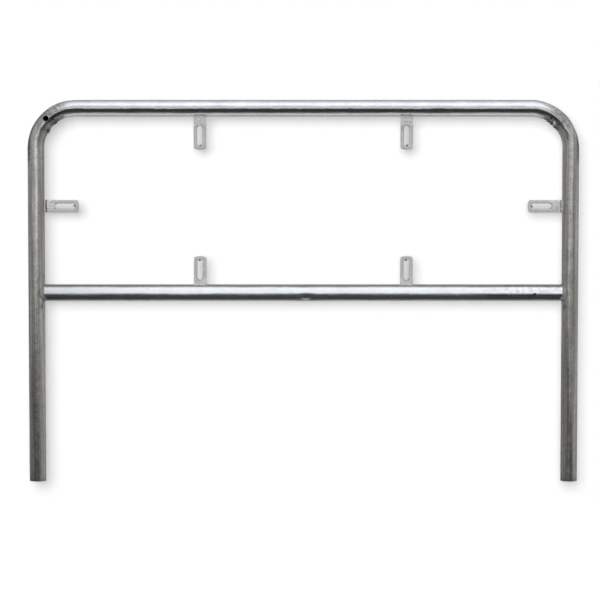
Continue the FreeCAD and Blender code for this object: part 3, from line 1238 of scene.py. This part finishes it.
class RACK_OT_stage(bpy.types.Operator):
    """Sets the floor, the backdrop, the light and the camera"""

    bl_idname = "rack.stage"
    bl_label = "Stage"

    def execute(self, context):
        self.camera()
        self.world()
        self.backdrop()
        self.floor()
        self.key()
        self.crossbar_cards()
        self.lug_shades()
        bpy.context.scene.view_settings.view_transform = "Standard"
        return {"FINISHED"}

    @staticmethod
    def camera():
        camera = bpy.data.objects.new("camera", bpy.data.cameras.new("camera"))
        bpy.context.scene.collection.objects.link(camera)
        back = Vector((0, -math.cos(CAMERA_TILT), math.sin(CAMERA_TILT))) * CAMERA_DISTANCE
        camera.location = VIEW_CENTRE + back
        camera.rotation_euler = (math.pi / 2 - CAMERA_TILT, 0, 0)
        camera.data.sensor_width = SENSOR_WIDTH
        camera.data.lens = SENSOR_WIDTH * CAMERA_DISTANCE / VIEW_WIDTH
        camera.data.clip_end = 200
        bpy.context.scene.camera = camera

    @staticmethod
    def world():
        """White to the camera. The metal sees soft boxes above, and a dark room below the horizon."""
        world = bpy.data.worlds.new("studio")
        world.use_nodes = True
        nodes = Nodes(world.node_tree)
        x, y, z = nodes.parts(nodes.add("ShaderNodeTexCoord", output="Generated"))
        turn = z.maths("ARCTAN2", -y) / (2 * math.pi) + 0.5
        stops = [((angle + 180) / 360, studio_tint(level, warmth)) for angle, level, warmth in STUDIO]
        rows = nodes.add("ShaderNodeValToRGB", {"stops": stops}, {"Fac": turn})
        stops = [((place + 1) / 2, (level, level, level, 1)) for place, level in ACROSS]
        across = nodes.add("ShaderNodeValToRGB", {"stops": stops}, {"Fac": x / 2 + 0.5})
        flank = z.ramp(-0.15, 0.02, 0.26, 0.42) + x.ramp(-0.5, 0.5, 0.0, 0.1) + z.ramp(0.1, 0.8, 0.0, 0.3)
        steep = z.maths("MAXIMUM", 0.0) * 1.2 + (-z - 0.15).maths("MAXIMUM", 0.0) * 2.5
        sideways = (abs(x) * (1 + steep)).ramp(0.50, 0.92)
        lit = nodes.multiply(rows, across)
        lit = nodes.mix_colour(sideways, lit, nodes.vector(flank / 2, flank / 2, flank / 2))
        mirrored = nodes.add("ShaderNodeLightPath", output="Is Glossy Ray")
        mirrored = mirrored.maths("MAXIMUM", nodes.add("ShaderNodeLightPath", output="Is Transmission Ray"))
        seen = nodes.add("ShaderNodeLightPath", output="Is Camera Ray")
        room = nodes.add("ShaderNodeBackground", inputs={"Color": lit, "Strength": mirrored * 2})
        white = nodes.add("ShaderNodeBackground", inputs={"Color": (1, 1, 1, 1), "Strength": seen})
        both = nodes.add("ShaderNodeAddShader", inputs={0: room, 1: white})
        nodes.add("ShaderNodeOutputWorld", inputs={"Surface": both})
        bpy.context.scene.world = world

    @staticmethod
    def backdrop():
        """A white wall close behind the rack, clear from behind."""
        bm = bmesh.new()
        middle = Matrix.Translation((0, BACKDROP_GAP, BACKDROP_MIDDLE))
        place = middle @ Matrix.Rotation(math.pi / 2, 4, "X")
        bmesh.ops.create_grid(bm, x_segments=1, y_segments=1, size=BACKDROP_SIZE, matrix=place)
        wall = stage_piece(bm, "backdrop")
        wall.visible_glossy = False
        material, nodes = new_material("backdrop")
        white = white_sheet(nodes, BACKDROP_TONE, BACKDROP_GLOW)
        clear = nodes.add("ShaderNodeBsdfTransparent")
        behind = nodes.add("ShaderNodeNewGeometry", output="Backfacing")
        sheet = nodes.add("ShaderNodeMixShader", inputs={0: behind, 1: white, 2: clear})
        nodes.add("ShaderNodeOutputMaterial", inputs={"Surface": sheet})
        wall.data.materials.append(material)

    @staticmethod
    def floor():
        """A pale floor a little below the feet."""
        bm = bmesh.new()
        place = Matrix.Translation((0, 0, -FLOOR_DROP))
        bmesh.ops.create_grid(bm, x_segments=1, y_segments=1, size=FLOOR_SIZE, matrix=place)
        floor = stage_piece(bm, "floor")
        floor.visible_glossy = False
        material, nodes = new_material("floor")
        sheet = white_sheet(nodes, FLOOR_TONE, FLOOR_GLOW)
        nodes.add("ShaderNodeOutputMaterial", inputs={"Surface": sheet})
        floor.data.materials.append(material)

    @staticmethod
    def key():
        """A soft lamp from the upper left, which throws the rack's shadow down and to the right."""
        lamp = bpy.data.objects.new("key", bpy.data.lights.new("key", "SUN"))
        bpy.context.scene.collection.objects.link(lamp)
        lamp.data.energy, lamp.data.angle = KEY_STRENGTH, KEY_SPREAD
        lamp.rotation_euler = KEY_DIRECTION.to_track_quat("-Z", "Y").to_euler()
        lamp.visible_glossy = False

    def crossbar_cards(self):
        """A glowing card before the crossbar, and dark cards above and below it. Only its gloss sees them."""
        bar_only = bpy.data.collections.new("crossbar_only")
        bar_only.objects.link(bpy.data.objects["crossbar_skin"])
        for name, low, high, reach, glow, shade in CROSSBAR_CARDS:
            length = BAR_HIGH.x + GLOW_CARD_OVERHANG if glow else LEG_X - TUBE_R + FLAG_OVERLAP
            card = self.card(name, math.radians(low), math.radians(high), reach, length)
            card.visible_camera = card.visible_diffuse = card.visible_shadow = False
            card.light_linking.receiver_collection = bar_only
            card.data.materials.append(self.card_light(name, glow, shade))

    @staticmethod
    def card(name, low, high, reach, length):
        """A flat card along the crossbar that spans the angles from low to high, and faces it."""
        middle, half = (low + high) / 2, (high - low) / 2
        away = Vector((0, -math.cos(middle), math.sin(middle)))
        turn = Matrix.Rotation(math.pi / 2 - middle, 4, "X")
        stretch = Matrix.Diagonal((length, reach * math.tan(half), 1, 1))
        place = Matrix.Translation(Vector((0, 0, BAR_Z)) + away * reach) @ turn @ stretch
        bm = bmesh.new()
        bmesh.ops.create_grid(bm, x_segments=1, y_segments=1, size=1.0, matrix=place)
        bmesh.ops.reverse_faces(bm, faces=[face for face in bm.faces if face.normal.dot(away) > 0])
        layer = bm.loops.layers.uv.verify()
        flat = place.inverted()
        for face in bm.faces:
            for loop in face.loops:
                local = flat @ loop.vert.co
                loop[layer].uv = (local.x / 2 + 0.5, local.y / 2 + 0.5)
        return stage_piece(bm, name)

    @staticmethod
    def card_light(name, glow, shade):
        """Clear but for its glow or its shade, which fade out towards the card's edges."""
        material, nodes = new_material(name)
        across, up, _ = nodes.parts(nodes.add("ShaderNodeTexCoord", output="UV"))
        front = 1 - nodes.add("ShaderNodeNewGeometry", output="Backfacing")
        soft = up.near(0.5, 0.10 if glow else 0.22, 0.5) * front * across.near(0.5, 0.498, 0.5)
        dim = 1 - soft * shade
        clear = nodes.add("ShaderNodeBsdfTransparent", inputs={"Color": nodes.vector(dim, dim, dim)})
        inputs = {"Color": rgba((0.97, 0.99, 1)), "Strength": soft * glow}
        light = nodes.add("ShaderNodeEmission", inputs=inputs)
        both = nodes.add("ShaderNodeAddShader", inputs={0: clear, 1: light})
        nodes.add("ShaderNodeOutputMaterial", inputs={"Surface": both})
        return material

    @staticmethod
    def lug_shades():
        """A thin grey gauze close behind each lug, which only softens the light through its slot."""
        material, nodes = new_material("gauze")
        gauze = nodes.add("ShaderNodeBsdfTransparent", inputs={"Color": rgba((0.1, 0.1, 0.1))})
        nodes.add("ShaderNodeOutputMaterial", inputs={"Surface": gauze})
        for name in LUGS:
            low, high = (Vector(corner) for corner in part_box(name))
            middle, size = (low + high) / 2, (high - low) / 2
            middle.y = high.y + GAUZE_GAP
            stretch = Matrix.Diagonal((size.x + GAUZE_MARGIN, size.z + GAUZE_MARGIN, 1, 1))
            place = Matrix.Translation(middle) @ Matrix.Rotation(math.pi / 2, 4, "X") @ stretch
            bm = bmesh.new()
            bmesh.ops.create_grid(bm, x_segments=1, y_segments=1, size=1.0, matrix=place)
            shade = stage_piece(bm, name + "_gauze")
            shade.visible_camera = shade.visible_diffuse = shade.visible_glossy = False
            shade.visible_transmission = False
            shade.data.materials.append(material)


def stage_piece(bm, name):
    """A piece of the stage, which isn't part of the rack."""
    piece = placed(bm, name)
    return piece


def white_sheet(nodes, tone, glow):
    """White paper that glows where the camera sees it."""
    paper = nodes.add("ShaderNodeBsdfDiffuse", inputs={"Color": (tone, tone, tone, 1)})
    seen = nodes.add("ShaderNodeLightPath", output="Is Camera Ray")
    light = nodes.add("ShaderNodeEmission", inputs={"Color": (1, 1, 1, 1), "Strength": seen * glow})
    return nodes.add("ShaderNodeAddShader", inputs={0: paper, 1: light})


# ---------------------------------------------------------------- add-on


class RACK_OT_finishes(bpy.types.Operator):
    """Mixes the zinc finishes that the pieces share"""

    bl_idname = "rack.finishes"
    bl_label = "Finishes"

    def execute(self, context):
        hoop_zinc()
        crossbar_zinc()
        plate_zinc()
        weld_zinc("weld_zinc", 1.1, 0.25)
        weld_zinc("joint_weld_zinc", 0.45, 0.3)
        return {"FINISHED"}


class RACK_PT_panel(bpy.types.Panel):
    """Lists the rack's pieces, sizes and colours"""

    bl_label = "Rack"
    bl_idname = "RACK_PT_panel"
    bl_space_type = "VIEW_3D"
    bl_region_type = "UI"
    bl_category = "Rack"

    def draw(self, context):
        for name in STEPS:
            self.layout.operator(name)
        for group in (context.scene.rack_sizes, context.scene.zinc_colours):
            for name in group.__annotations__:
                self.layout.prop(group, name)


STEPS = (
    "rack.finishes",
    "rack.hoop",
    "rack.crossbar",
    "rack.lugs",
    "rack.lug_welds",
    "rack.crossbar_welds",
    "rack.stage",
)
CLASSES = (
    RackSizes,
    ZincColours,
    RACK_OT_stage,
    RACK_OT_finishes,
    RACK_OT_hoop,
    RACK_OT_crossbar,
    RACK_OT_lugs,
    RACK_OT_lug_welds,
    RACK_OT_crossbar_welds,
    RACK_PT_panel,
)


def register():
    for cls in CLASSES:
        bpy.utils.register_class(cls)
    bpy.types.Scene.rack_sizes = PointerProperty(type=RackSizes)
    bpy.types.Scene.zinc_colours = PointerProperty(type=ZincColours)


def unregister():
    del bpy.types.Scene.zinc_colours
    del bpy.types.Scene.rack_sizes
    for cls in reversed(CLASSES):
        bpy.utils.unregister_class(cls)


def main():
    register()
    for name in STEPS:
        group, step = name.split(".")
        getattr(getattr(bpy.ops, group), step)()


if __name__ == "__main__":
    main()
